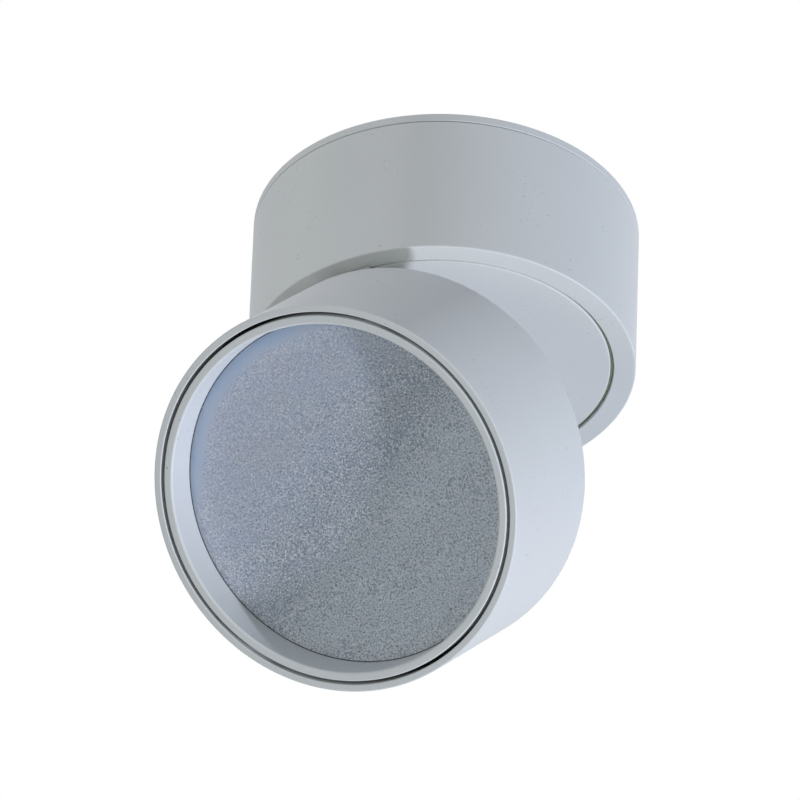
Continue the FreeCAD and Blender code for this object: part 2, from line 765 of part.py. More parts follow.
def make_head_shell():
    """Cup with a closed rear face, open at the front, with three posts for the heat sink."""
    seat = head_front + bezel_len
    shape = turned([(0, head_top), (body_r - edge_bevel, head_top), (body_r, head_top - edge_bevel),
                    (body_r, head_front + edge_bevel), (body_r - edge_bevel, head_front),
                    (shell_bore_r, head_front), (shell_bore_r, seat), (shell_rear_bore_r, seat),
                    (shell_rear_bore_r, head_top - shell_back), (0, head_top - shell_back)])
    posts = [cylinder(post_r, sink_rear, head_top - shell_back, x, y) for x, y in post_centres()]
    shape = shape.fuse(posts)
    cutters = [cylinder(wire_hole_r, head_top - shell_back - 1, head_top + 1, 0, head_hole_y)]
    for x, y in post_centres():
        cutters.append(cylinder(m3[0] + seat_fit, sink_rear - 1, sink_rear + post_len, x, y))
    for x, y in lug_screw_centres():
        cutters.append(cylinder(m3[0] + seat_fit, head_top - shell_back - 1, head_top + 1, x, y))
    return shape.cut(cutters).removeSplitter()


def make_head_grommet():
    """Rubber bushing for the lead, through the shell's rear face."""
    return grommet(wire_grommet_radii, head_top - shell_back, head_top, wire_lip_t, head_hole_y)


def make_head_lug():
    """Foot on the shell's rear face and a narrow arm up to the hinge axis."""
    foot = block((lug_foot_w, lug_foot_len, lug_foot_t), 0, lug_near_y + lug_foot_len / 2,
                 head_top)
    arm_low = Vector(-hinge_lug_w / 2, hinge_y - hinge_ear_r, head_top)
    arm = Part.makeBox(hinge_lug_w, hinge_ear_r + lug_foot_back, hinge_z - head_top, arm_low)
    boss = Part.makeCylinder(hinge_ear_r, hinge_lug_w,
                             Vector(-hinge_lug_w / 2, hinge_y, hinge_z), Vector(1, 0, 0))
    pin = Part.makeCylinder(hinge_pin_r + run_fit, 2 * hinge_lug_w,
                            Vector(-hinge_lug_w, hinge_y, hinge_z), Vector(1, 0, 0))
    sinks = [countersink(m3_flat, x, y, head_top + lug_foot_t, lug_foot_t + 1, -1)
             for x, y in lug_screw_centres()]
    return foot.fuse([arm, boss]).cut([pin] + sinks).removeSplitter()


def make_lug_screws():
    """Flat headed screws down through the foot into the shell."""
    length = lug_foot_t + shell_back - edge_bevel
    top = head_top + lug_foot_t
    return Part.makeCompound([placed(screw(m3_flat, length, flat=True), (x, y, top))
                              for x, y in lug_screw_centres()])


def make_bezel_ring():
    """Ring flush with the shell's front edge: tapered recess, diffuser pocket, seated skirt."""
    step = head_front + ring_gap_depth
    back = head_front + bezel_len
    skirt_r = shell_bore_r - bezel_fit
    pocket_r = diffuser_r + pocket_fit
    return turned([(recess_r, head_front), (bezel_r - edge_bevel, head_front),
                   (bezel_r, head_front + edge_bevel), (bezel_r, step), (skirt_r, step),
                   (skirt_r, back), (pocket_r, back), (pocket_r, diffuser_front),
                   (recess_in_r, diffuser_front)])


def make_groove_seal():
    """Black ring that closes the groove between the bezel and the shell."""
    top = head_front + ring_gap_depth
    return ring(shell_bore_r - seat_fit, bezel_r + seat_fit, top - seal_t, top)


def make_diffuser():
    """Frosted disc behind the recess."""
    return cylinder(diffuser_r, diffuser_front, diffuser_back)


def make_diffuser_gasket():
    """Soft ring between the diffuser and the reflector."""
    return ring(diffuser_r, diffuser_r - gasket_w, diffuser_back, gasket_back)


def make_reflector():
    """White collar on the LED board that widens to the diffuser, with a flange at its wide end."""
    front_r = diffuser_r - gasket_w
    flange_back = gasket_back + reflector_wall
    wall = reflector_wall
    collar = board_front - reflector_collar_h
    return turned([(reflector_back_r, board_front), (reflector_back_r + wall, board_front),
                   (reflector_back_r + wall, collar), (front_r, flange_back),
                   (diffuser_r, flange_back), (diffuser_r, gasket_back),
                   (front_r - wall, gasket_back), (reflector_back_r, collar)])


def make_thermal_pad():
    """Pad between the LED board and the heat sink."""
    pad = cylinder(board_r, board_rear, sink_front)
    return pad.cut(board_screw_holes(m3[0] + run_fit))


def board_screw_centres():
    return [polar(board_screw_orbit, angle) for angle in post_angles]


def board_screw_holes(radius):
    return [cylinder(radius, board_front - 1, sink_rear + 1, x, y)
            for x, y in board_screw_centres()]


def make_led_board():
    """Round metal-core board."""
    return cylinder(board_r, board_front, board_rear).cut(board_screw_holes(m3[0] + run_fit))


def make_leds():
    """One LED in the middle of the board and rings of LEDs round it, six more on each ring."""
    low = board_front - led_t
    size = (led_size, led_size, led_t)
    chips = [block(size, 0, 0, low)]
    rings = int((reflector_back_r - led_edge) / led_pitch)
    for number in range(1, rings + 1):
        chip = block(size, number * led_pitch, 0, low)
        chips += [at_angle(chip, k * 60 / number) for k in range(6 * number)]
    return Part.makeCompound(chips)


def make_led_connector():
    """Lead connector near the board's edge, outside the reflector."""
    size = (connector_w, connector_d, connector_h)
    shape = block(size, 0, connector_y, board_front - connector_h)
    for side in (-1, 1):
        mouth = Vector(side * connector_w / 4, connector_y + connector_d / 2,
                       board_front - connector_h / 2)
        shape = shape.cut(Part.makeCylinder(connector_bore_r, connector_bore_depth, mouth,
                                            Vector(0, -1, 0)))
    return shape


def make_led_board_screws():
    """Screws that press the board onto the heat sink."""
    length = board_t + pad_t + sink_t - edge_bevel
    return Part.makeCompound([placed(screw(m3, length), (x, y, board_front), (0, 0, 1))
                              for x, y in board_screw_centres()])


def make_heat_sink():
    """Round plate on the shell's posts with straight fins on its rear side."""
    shape = cylinder(sink_r, sink_front, sink_rear)
    row = int((sink_r - fin_inset) / fin_pitch)
    fins = [block((fin_t, 2 * sink_r, fin_h), k * fin_pitch, 0, sink_rear)
            for k in range(-row, row + 1)]
    bay = cylinder(sink_r - fin_inset, sink_rear, sink_rear + fin_h)
    keep_out = [cylinder(post_r + fin_clear, sink_rear, sink_rear + fin_h + 1, x, y)
                for x, y in post_centres()]
    keep_out.append(cylinder(wire_lip_r + fin_clear, sink_rear, sink_rear + fin_h + 1,
                             0, head_hole_y))
    keep_out += [cylinder(m3[0] + fin_clear, sink_rear, sink_rear + fin_h + 1, x, y)
                 for x, y in board_screw_centres() + lug_screw_centres()]
    fins = [fin.common(bay).cut(keep_out) for fin in fins]
    shape = shape.fuse(fins)
    holes = board_screw_holes(m3[0] + seat_fit)
    holes += [cylinder(m3[0] + run_fit, sink_front - 1, sink_rear + 1, x, y)
              for x, y in post_centres()]
    holes.append(cylinder(wire_notch_r, sink_front - 1, sink_rear + fin_h + 1, 0, sink_r))
    return shape.cut(holes).removeSplitter()


def make_heat_sink_screws():
    """Screws through the plate into the shell's posts."""
    length = sink_t + post_len - edge_bevel
    return Part.makeCompound([placed(screw(m3, length), (x, y, sink_front), (0, 0, 1))
                              for x, y in post_centres()])


# ---------------------------------------------------------------- assembly

def leaned(shape):
    """The head's pieces, turned about the hinge from straight down to the stored lean."""
    copy = shape.copy()
    copy.rotate(Vector(0, hinge_y, hinge_z), Vector(-1, 0, 0), rest_tilt)
    return copy


base_nodes = {
    "ceiling_plate": make_ceiling_plate,
    "entry_grommet": make_entry_grommet,
    "terminal_block": make_terminal_block,
    "terminal_screws": make_terminal_screws,
    "terminal_fixings": make_terminal_fixings,
    "earth_tag": make_earth_tag,
    "earth_screw": make_earth_screw,
    "cable_clamp": make_cable_clamp,
    "cable_clamp_screws": make_clamp_screws,
    "driver_lid": make_driver_lid,
    "driver_case": make_driver_case,
    "driver_board": make_driver_board,
    "driver_parts": make_driver_parts,
    "driver_terminal": make_driver_terminal,
    "driver_screws": make_driver_screws,
    "stop_post": make_stop_post,
    "base_can": make_base_can,
    "can_set_screw": make_can_set_screw,
    "lower_slide_ring": make_lower_slide_ring,
    "upper_slide_ring": make_upper_slide_ring,
    "circlip": make_circlip,
}

turntable_nodes = {
    "turntable_disc": make_turntable_disc,
    "turntable_grommet": make_turntable_grommet,
    "stop_pin": make_stop_pin,
    "hinge_yoke": make_hinge_yoke,
    "yoke_screws": make_yoke_screws,
    "hinge_bolt": make_hinge_bolt,
    "hinge_nut": make_hinge_nut,
    "hinge_washers": make_hinge_washers,
}

head_nodes = {
    "head_shell": make_head_shell,
    "head_lug": make_head_lug,
    "lug_screws": make_lug_screws,
    "head_grommet": make_head_grommet,
    "heat_sink": make_heat_sink,
    "heat_sink_screws": make_heat_sink_screws,
    "thermal_pad": make_thermal_pad,
    "led_board": make_led_board,
    "leds": make_leds,
    "led_connector": make_led_connector,
    "led_board_screws": make_led_board_screws,
    "reflector": make_reflector,
    "diffuser_gasket": make_diffuser_gasket,
    "diffuser": make_diffuser,
    "bezel_ring": make_bezel_ring,
    "groove_seal": make_groove_seal,
}


def main():
    os.makedirs("parts", exist_ok=True)
    for name, make in base_nodes.items():
        make().exportStep(f"parts/{name}.step")
    for name, make in turntable_nodes.items():
        make().exportStep(f"parts/{name}.step")
    for name, make in head_nodes.items():
        leaned(make()).exportStep(f"parts/{name}.step")


main()
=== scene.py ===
# %% [markdown]
# # A ceiling spotlight with a tilting head
#
# The light is two short drums of one diameter. The upper one is the base on the ceiling, with a
# turntable let into its underside. The lower one is the head, hinged at the turntable's edge.
# Both wear a satin off-white coat. The rest is a frosted diffuser and a thin black seal round its
# bezel.
#
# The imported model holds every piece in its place, with sharp or plainly bevelled edges. This
# script makes the visible pieces again, at the same sizes but with soft edges, gives each piece
# its finish, and sets up the light and the camera.

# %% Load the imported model
import json
import math

import bmesh
import bpy
import numpy as np
from mathutils import Matrix, Vector

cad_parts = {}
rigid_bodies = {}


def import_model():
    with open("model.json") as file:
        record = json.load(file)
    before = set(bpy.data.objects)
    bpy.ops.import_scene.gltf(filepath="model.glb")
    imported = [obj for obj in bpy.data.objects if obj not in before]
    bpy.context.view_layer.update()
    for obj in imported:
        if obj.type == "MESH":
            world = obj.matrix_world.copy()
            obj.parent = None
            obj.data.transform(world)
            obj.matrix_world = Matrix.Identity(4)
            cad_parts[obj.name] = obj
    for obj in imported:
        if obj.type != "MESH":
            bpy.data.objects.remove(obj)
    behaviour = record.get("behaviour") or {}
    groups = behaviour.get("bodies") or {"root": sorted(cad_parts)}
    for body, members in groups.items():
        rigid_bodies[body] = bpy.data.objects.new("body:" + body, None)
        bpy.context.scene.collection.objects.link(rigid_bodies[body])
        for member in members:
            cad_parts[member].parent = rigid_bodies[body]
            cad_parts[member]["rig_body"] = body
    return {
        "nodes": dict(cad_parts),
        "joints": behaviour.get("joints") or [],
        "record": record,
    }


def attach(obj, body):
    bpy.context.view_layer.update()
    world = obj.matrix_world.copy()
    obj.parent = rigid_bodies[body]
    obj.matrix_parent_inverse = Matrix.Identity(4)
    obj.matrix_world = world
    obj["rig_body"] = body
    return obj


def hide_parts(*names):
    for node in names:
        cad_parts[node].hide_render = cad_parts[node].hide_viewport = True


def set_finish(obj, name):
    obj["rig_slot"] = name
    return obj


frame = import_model()
nodes = frame["nodes"]
tilt = {joint["name"]: joint for joint in frame["joints"]}["head_tilt"]
slot_of = {part["node"]: part["material_slot"] for part in frame["record"]["subparts"]}
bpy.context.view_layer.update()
MM = 0.001

# %% [markdown]
# ## Working straight down
#
# The model is stored as the photograph shows it, with the head leaning out. A turned piece is
# easier to describe on an upright axis. The hinge knows the way there and back: its lower limit
# is straight down. So the head's pieces are worked out hanging straight down, and each point is
# then turned about the hinge by the same angle. Heights are in millimetres below the ceiling.

# %% The turn between straight down and the stored lean
pivot = np.array(tilt["pos_m"])
lean = math.radians(-tilt["range_deg"][0])
LEAN = np.array(Matrix.Rotation(lean, 3, Vector(tilt["axis"])))


def leaned(points):
    """Each point turned about the hinge axis: pivot + LEAN (point - pivot)."""
    return (points - pivot) @ LEAN.T + pivot


def plumb(points):
    """The way back: pivot + LEAN^-1 (point - pivot), and a rotation's inverse is its transpose."""
    return (points - pivot) @ LEAN + pivot


def measured(name):
    """Radius and height of a node's points about the axis of its drum, in millimetres."""
    flat = np.empty(len(nodes[name].data.vertices) * 3)
    nodes[name].data.vertices.foreach_get("co", flat)
    points = flat.reshape(-1, 3)
    if nodes[name]["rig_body"] == "head":
        points = plumb(points)
    return np.hypot(points[:, 0], points[:, 1]) / MM, points[:, 2] / MM


for name in ("ceiling_plate", "base_can", "turntable_disc", "head_shell", "bezel_ring",
             "diffuser"):
    radius, height = measured(name)
    print(name, "radius to", round(radius.max(), 2), "height", round(height.min(), 2),
          "to", round(height.max(), 2))

# %% [markdown]
# ## Turned surfaces with soft edges
#
# A turned piece is a profile carried round an axis. No metal edge is quite sharp, and the fine
# bright line along a rounded edge is much of what makes a render look solid. A Bevel modifier
# could round the edges, but on a turned piece it is simpler to round the corners of the profile:
# each becomes a small arc before anything is carried round.

# %% Rounding the corners of a profile
def rounded(corners, radii, closed=True, steps=4):
    """Outline with an arc at each corner that touches both of its sides, as rows (r, z, edge).

    Where the sides meet at the angle 2a, an arc of radius r starts r / tan(a) before the corner,
    and its centre lies r / sin(a) along the line that halves the angle. A guard point just beyond
    each end of the arc keeps the flat next to it flat under smooth shading. The edge value is 1
    on an arc and 0 on a flat, for the coat's painted edge highlight. An open outline starts and
    ends on the axis, at its first and last corners.
    """
    corners = np.asarray(corners, float)
    before = np.roll(corners, 1, axis=0) - corners
    after = np.roll(corners, -1, axis=0) - corners
    room_before = np.linalg.norm(before, axis=1, keepdims=True)
    room_after = np.linalg.norm(after, axis=1, keepdims=True)
    before, after = before / room_before, after / room_after
    half = np.arccos(np.clip((before * after).sum(1, keepdims=True), -1, 1)) / 2
    reach = np.asarray(radii, float)[:, None] / np.tan(half)
    reach = np.minimum(reach, 0.45 * np.minimum(room_before, room_after))
    middle = (before + after) / np.linalg.norm(before + after, axis=1, keepdims=True)
    centre = corners + middle * reach * np.tan(half) / np.sin(half)
    start, end = corners + before * reach - centre, corners + after * reach - centre
    share = np.linspace(0, 1, steps + 1)[:, None, None]
    sweep = math.pi - 2 * half
    arc = (np.sin((1 - share) * sweep) * start + np.sin(share * sweep) * end) / np.sin(sweep)
    guard = np.minimum(0.12, 0.04 * np.minimum(room_before, room_after))
    rows = np.concatenate([(corners + before * (reach + guard))[None], arc + centre,
                           (corners + after * (reach + guard))[None]])
    edge = np.zeros(rows.shape[:2] + (1,))
    edge[1:-1] = np.where(reach > 0, 1, 0)
    outline = np.concatenate([rows, edge], axis=-1).transpose(1, 0, 2).reshape(-1, 3)
    return outline if closed else outline[steps + 1:-(steps + 1)]


# %% Carrying a profile round
AROUND = 256


def turned(outline, closed=True):
    """Grid of points (r_k cos t_i, r_k sin t_i, z_k) and the faces between neighbours on it.

    t_i runs evenly round the circle and (r_k, z_k) along the outline. A closed outline also joins
    its last point to its first. An open one ends at a pole at each end.
    """
    turn = np.linspace(0, 2 * math.pi, AROUND, endpoint=False)
    radius, height = outline[:, 0], outline[:, 1]
    points = np.stack([np.outer(np.cos(turn), radius), np.outer(np.sin(turn), radius),
                       np.tile(height, (AROUND, 1))], axis=-1)
    index = np.arange(points[..., 0].size).reshape(AROUND, -1)
    across = np.roll(index, -1, axis=0)
    faces = np.stack([index, across, np.roll(across, -1, axis=1), np.roll(index, -1, axis=1)],
                     axis=-1)
    if not closed:
        faces = faces[:, :-1]
    edge = np.tile(outline[:, 2], AROUND)
    return points.reshape(-1, 3) * MM, faces.reshape(-1, 4), edge


# %% [markdown]
# ## Holes
#
# The screw holes, slots and cable entries break the round shape. Each is cut, once, with an exact
# Boolean from a plain rod or brick, and the result is kept as a mesh. They stay sharp, as drilled
# holes do before they are deburred, because almost all are out of sight when the light is up.

# %% Rods and bricks
def solid(name, points, faces, edge=None):
    """Mesh object at the origin. Poles and seams are merged, so that the surface is closed."""
    mesh = bpy.data.meshes.new(name)
    mesh.from_pydata(np.asarray(points).tolist(), [], [list(face) for face in faces])
    # Edge value per point, which the coat turns into a painted highlight along rounded edges.
    edge_mask = mesh.attributes.new("edge", "FLOAT", "POINT")
    edge_mask.data.foreach_set("value", np.zeros(len(points)) if edge is None else edge)
    work = bmesh.new()
    work.from_mesh(mesh)
    bmesh.ops.remove_doubles(work, verts=work.verts, dist=1e-7)
    bmesh.ops.recalc_face_normals(work, faces=work.faces)
    work.to_mesh(mesh)
    work.free()
    made = bpy.data.objects.new(name, mesh)
    bpy.context.scene.collection.objects.link(made)
    return made


def rod(start, end, radius, around=64):
    """Cylinder: a circle round each end of a line, in millimetres, joined by walls and capped."""
    start, end = np.asarray(start, float), np.asarray(end, float)
    along = (end - start) / np.linalg.norm(end - start)
    side = np.cross(along, (0, 0, 1) if abs(along[2]) < 0.9 else (1, 0, 0))
    side = side / np.linalg.norm(side)
    turn = np.linspace(0, 2 * math.pi, around, endpoint=False)[:, None]
    circle = radius * (np.cos(turn) * side + np.sin(turn) * np.cross(along, side))
    low = np.arange(around)
    walls = np.stack([low, np.roll(low, -1), np.roll(low, -1) + around, low + around], axis=-1)
    return solid("rod", np.concatenate([start + circle, end + circle]) * MM,
                 walls.tolist() + [low[::-1].tolist(), (low + around).tolist()])


M3_HOLE, M4_HOLE, LEAD_HOLE = 1.52, 2.02, 5


def bores(places, low, high, radius=M3_HOLE):
    """An upright rod at each place (x, y), from one height to another."""
    return [rod((x, y, low), (x, y, high), radius) for x, y in places]


def brick(centre, size, degrees=0):
    """Box: the sums of centre and plus or minus half the size, turned about the drum's axis."""
    corner = np.array(np.meshgrid([-1, 1], [-1, 1], [-1, 1], indexing="ij")).reshape(3, 8).T
    points = np.asarray(centre) + corner * np.asarray(size) / 2
    points = points @ np.array(Matrix.Rotation(math.radians(degrees), 3, "Z")).T
    return solid("brick", points * MM, [(0, 1, 3, 2), (4, 6, 7, 5), (0, 4, 5, 1), (2, 3, 7, 6),
                                        (0, 2, 6, 4), (1, 5, 7, 3)])


# %% Adding and cutting
def shaped(target, cut=(), joined=()):
    """Applies exact Booleans, the additions first, and removes the tools."""
    tools = [(tool, "UNION") for tool in joined] + [(tool, "DIFFERENCE") for tool in cut]
    for tool, way in tools:
        step = target.modifiers.new(way.lower(), "BOOLEAN")
        step.operation, step.solver, step.object = way, "EXACT", tool
    graph = bpy.context.evaluated_depsgraph_get()
    mesh = bpy.data.meshes.new_from_object(target.evaluated_get(graph))
    target.modifiers.clear()
    old, target.data = target.data, mesh
    for spent in [old] + [tool.data for tool, way in tools]:
        bpy.data.meshes.remove(spent)


def finished(piece, body, node):
    """Shades smooth up to 30 degrees, leans a head piece, and puts it in the node's place."""
    mesh = piece.data
    mesh.name = piece.name
    if body == "head":
        flat = np.empty(len(mesh.vertices) * 3)
        mesh.vertices.foreach_get("co", flat)
        mesh.vertices.foreach_set("co", leaned(flat.reshape(-1, 3)).ravel())
    mesh.shade_smooth()
    mesh.set_sharp_from_angle(angle=math.radians(30))
    mesh.update()
    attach(piece, body)
    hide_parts(node)
    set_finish(piece, slot_of[node])
    print(piece.name, "faces:", len(mesh.polygons), "instead of", node)


# %% [markdown]
# ## The ceiling plate and the can
#
# The installer screws the plate to the ceiling, feeds the cable through its grommet, and hangs
# the can on two hooks of the plate's collar. A set screw locks it. Plate and can have one
# diameter, so the joint between them shows only as a fine dark line between two rounded edges.

# %% The set screw's bore
LOCK_Z, LOCK_DEGREES, LOCK_END = -5.5, 125, 54
LOCK_DIRECTION = np.array([math.cos(math.radians(LOCK_DEGREES)),
                           math.sin(math.radians(LOCK_DEGREES)), 0])


def lock_bore(start):
    """Level rod along the set screw, from a distance off the drum's axis to outside the can."""
    near, far = (LOCK_DIRECTION * reach + (0, 0, LOCK_Z) for reach in (start, LOCK_END))
    return rod(near, far, M3_HOLE)


# %% The ceiling plate
OUTER, EDGE = 50.0, 0.35
SEAM, GAP, SEAM_IN = -2.5, 0.14, 48.6
COLLAR_IN, COLLAR_OUT, COLLAR_LOW = 44.7, 46.7, -8.5
SLOT_X, SLOT_WIDTH, SLOT_FLAT = 36, 4.5, 7.5
HOOK_R, HOOKS = 46.95, (245, 5)
DRIVER_HOLES, CLAMP_HOLES = [(-32, -17.987), (32, -17.987)], [(18.741, 23), (31.241, 23)]
TERMINAL_HOLES, STOP_HOLE = [(-5, 9.756), (5, 9.756)], (0, -38.25)
EARTH_HOLE, ENTRY_HOLE, ENTRY_R = (-26.022, 19.967), (0, 33), 6.5

plate = solid("ceiling_plate_turned", *turned(rounded(
    [(0, SEAM), (COLLAR_IN, SEAM), (COLLAR_IN, COLLAR_LOW), (COLLAR_OUT, COLLAR_LOW),
     (COLLAR_OUT, SEAM), (SEAM_IN, SEAM), (SEAM_IN, SEAM + GAP), (OUTER, SEAM + GAP), (OUTER, 0),
     (0, 0)],
    [0, 0.1, 0.2, 0.2, 0.1, 0, 0, 0.15, EDGE, 0], closed=False), closed=False))
slots = [brick((side * SLOT_X, 0, 0), (SLOT_FLAT, SLOT_WIDTH, 12)) for side in (-1, 1)]
slots += bores([(side * SLOT_X + end * SLOT_FLAT / 2, 0) for side in (-1, 1) for end in (-1, 1)],
               -6, 6, SLOT_WIDTH / 2)
drills = bores(DRIVER_HOLES + CLAMP_HOLES + TERMINAL_HOLES + [STOP_HOLE], -4, 2)
drills += bores([ENTRY_HOLE], -4, 2, ENTRY_R) + bores([EARTH_HOLE], -4, 2, M4_HOLE)
shaped(plate, cut=slots + drills + [lock_bore(42)],
       joined=[brick((HOOK_R, 0, LOCK_Z), (2.5, 8, 1.4), angle) for angle in HOOKS])
finished(plate, "base", "ceiling_plate")

# %% The base can
UNDERSIDE, BORE, RIM_IN, RIM_TOP = -43.0, 47.0, 44.3, -40.0
CLIP_R, CLIP_TOP, CLIP_LOW = 48.05, -34.95, -36.25
can = solid("base_can_turned", *turned(rounded(
    [(RIM_IN, UNDERSIDE), (OUTER, UNDERSIDE), (OUTER, SEAM - GAP), (SEAM_IN, SEAM - GAP),
     (SEAM_IN, SEAM), (BORE, SEAM), (BORE, CLIP_TOP), (CLIP_R, CLIP_TOP), (CLIP_R, CLIP_LOW),
     (BORE, CLIP_LOW), (BORE, RIM_TOP), (RIM_IN, RIM_TOP)],
    [0.25, EDGE, 0.15, 0, 0, 0.2, 0, 0, 0, 0, 0.1, 0.2])))
shaped(can, cut=[lock_bore(44)] + [brick((HOOK_R, 0, LOCK_Z), (2.6, 8.1, 1.5), angle)
                                   for angle in HOOKS])
finished(can, "base", "base_can")

# %% [markdown]
# ## The turntable
#
# A shallow dish hangs on a plastic slide ring behind the can's rim. Only its flat underside
# shows, a touch higher than the rim. The ring's olive lip shows in the narrow groove between
# them.

# %% The turntable disc
DISC, DISC_LOW, DISH, DISH_FLOOR = 43.5, -42.7, 41.5, -40.2
FLANGE, FLANGE_LOW, FLANGE_TOP = 46.2, -39, -37
YOKE_HOLES = [(x, y) for x in (-8.1, 8.1) for y in (-36.6, -26.2)]
disc = solid("turntable_disc_turned", *turned(rounded(
    [(0, DISC_LOW), (DISC, DISC_LOW), (DISC, FLANGE_LOW), (FLANGE, FLANGE_LOW),
     (FLANGE, FLANGE_TOP), (DISH, FLANGE_TOP), (DISH, DISH_FLOOR), (0, DISH_FLOOR)],
    [0, 0.4, 0.1, 0.2, 0.2, 0.2, 0.1, 0], closed=False), closed=False))
drills = bores(YOKE_HOLES, -44, -36) + bores([(0, -10.3)], -44, -36, LEAD_HOLE)
drills += bores([(0, 38.25)], -42.075, -36)
shaped(disc, cut=drills)
finished(disc, "turntable", "turntable_disc")

# %% The slide ring's lip
RING_IN, RING_OUT, RING_LOW = 43.6, 44.2, -42.2
ring = solid("slide_ring_turned", *turned(rounded(
    [(RING_IN, RING_LOW), (RING_OUT, RING_LOW), (RING_OUT, RIM_TOP), (FLANGE, RIM_TOP),
     (FLANGE, FLANGE_LOW), (RING_IN, FLANGE_LOW)],
    [0.2, 0.2, 0, 0.1, 0.1, 0.1])))
finished(ring, "base", "lower_slide_ring")

# %% [markdown]
# ## The head
#
# The shell is a cast cup with a closed rear. The bezel ring stands in its open front behind a
# deep narrow groove, and its straight inner wall leads back to the frosted diffuser. A black seal
# closes the floor of the groove.

# %% The head shell
TOP, FRONT = -52.5, -96.0
CUP, CUP_TOP, STEP, MOUTH = 46.5, -56.5, -81.5, 48.15
POSTS = [(35.507, 20.5), (-35.507, 20.5), (0, -41)]
LUG_HOLES = [(x, -32.3) for x in (-5.1, 5.1)]
shell = solid("head_shell_turned", *turned(rounded(
    [(0, CUP_TOP), (CUP, CUP_TOP), (CUP, STEP), (MOUTH, STEP), (MOUTH, FRONT), (OUTER, FRONT),
     (OUTER, TOP), (0, TOP)],
    [0, 0.5, 0.1, 0, 0.25, EDGE, EDGE, 0], closed=False), closed=False))
drills = bores(POSTS, -66, CUP_TOP) + bores(LUG_HOLES, -58, -50)
drills += bores([(0, -13.05)], -58, -50, LEAD_HOLE)
shaped(shell, cut=drills, joined=bores(POSTS, -64.5, -56, 4))
finished(shell, "head", "head_shell")

# %% The bezel ring and its seal
GLASS, WALL, SEAT, THREAD = -86.2, 44.7, 46.2, 48.05
GROOVE_IN, GROOVE_FLOOR = 47.25, -89
bezel = solid("bezel_ring_turned", *turned(rounded(
    [(45.0, FRONT), (GROOVE_IN, FRONT), (GROOVE_IN, GROOVE_FLOOR), (THREAD, GROOVE_FLOOR),
     (THREAD, STEP), (SEAT, STEP), (SEAT, GLASS), (WALL, GLASS)],
    [0.55, 0.35, 0, 0.1, 0.1, 0.1, 0, 0.1])))
finished(bezel, "head", "bezel_ring")

SEAL_IN, SEAL_OUT, SEAL_LOW = 47.27, 48.13, -90.2
seal = solid("groove_seal_turned", *turned(rounded(
    [(SEAL_IN, SEAL_LOW), (SEAL_OUT, SEAL_LOW), (SEAL_OUT, GROOVE_FLOOR), (SEAL_IN, GROOVE_FLOOR)],
    [0.25, 0.25, 0.05, 0.05])))
finished(seal, "head", "groove_seal")

# %% The diffuser
GLASS_R, GLASS_TOP = 46, GLASS + 2
diffuser = solid("diffuser_disc", *turned(rounded(
    [(0, GLASS), (GLASS_R, GLASS), (GLASS_R, GLASS_TOP), (0, GLASS_TOP)], [0, 0.2, 0.2, 0],
    closed=False), closed=False))
finished(diffuser, "head", "diffuser")

# %% [markdown]
# ## Hinge pieces
#
# The yoke and the lug are small castings with straight sides, so their shape in the model is
# right, but its edges are sharp. A copy of each is merged into one surface and gets a Bevel on
# its edges. The other small pieces keep the model's own mesh.

# %% Softened castings
def softened(node, width):
    """Merged copy of a node with its flat faces made whole, and its edges rounded."""
    mesh = nodes[node].data.copy()
    mesh.materials.clear()
    work = bmesh.new()
    work.from_mesh(mesh)
    bmesh.ops.remove_doubles(work, verts=work.verts, dist=2e-6)
    bmesh.ops.dissolve_limit(work, angle_limit=math.radians(1), verts=work.verts, edges=work.edges)
    work.to_mesh(mesh)
    work.free()
    piece = bpy.data.objects.new(node + "_softened", mesh)
    bpy.context.scene.collection.objects.link(piece)
    mesh.shade_smooth()
    edge = piece.modifiers.new("soft edges", "BEVEL")
    edge.width, edge.segments, edge.limit_method = width * MM, 3, "ANGLE"
    edge.angle_limit, edge.harden_normals = math.radians(40), True
    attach(piece, nodes[node]["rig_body"])
    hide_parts(node)
    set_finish(piece, slot_of[node])
    print(piece.name, "faces before the bevel:", len(mesh.polygons))


for node in ("hinge_yoke", "head_lug"):
    softened(node, 0.3)

# %% [markdown]
# ## Finishes
#
# A finish is a few effects laid over each other. Those that several finishes share are node
# groups, which put out only values that change over the surface: a fine grain, scattered specks,
# and sparkle. They read Object coordinates. Because each piece sits at the origin with its place
# in its mesh, these are metres in the room, so a scale of 1000 is about one feature per
# millimetre.

# %% Helpers for nodes
def add(tree, kind, links=None, **settings):
    """Adds a node, sets its properties, and fills inputs from values or other outputs."""
    made = tree.nodes.new(kind)
    for key, value in settings.items():
        setattr(made, key, value)
    for key, value in (links or {}).items():
        if isinstance(value, bpy.types.NodeSocket):
            tree.links.new(value, made.inputs[key])
        else:
            made.inputs[key].default_value = value
    return made


def math_node(tree, way, a, b=0.0, c=0.0):
    """One Math node on up to three values or outputs."""
    return add(tree, "ShaderNodeMath", {0: a, 1: b, 2: c}, operation=way).outputs[0]


def ramp(tree, value, low, high, out_low=0.0, out_high=1.0):
    """Smooth step of a value from low to high."""
    return add(tree, "ShaderNodeMapRange", {"Value": value, "From Min": low, "From Max": high,
                                            "To Min": out_low, "To Max": out_high},
               interpolation_type="SMOOTHSTEP").outputs["Result"]


def group(name, inputs, outputs):
    """Empty node group with plain number sockets, and its input and output nodes."""
    tree = bpy.data.node_groups.new(name, "ShaderNodeTree")
    for label, value in inputs.items():
        socket = tree.interface.new_socket(label, in_out="INPUT", socket_type="NodeSocketFloat")
        socket.default_value = value
    for label in outputs:
        tree.interface.new_socket(label, in_out="OUTPUT", socket_type="NodeSocketFloat")
    print("node group", name, "puts out", ", ".join(outputs))
    return tree, tree.nodes.new("NodeGroupInput"), tree.nodes.new("NodeGroupOutput")


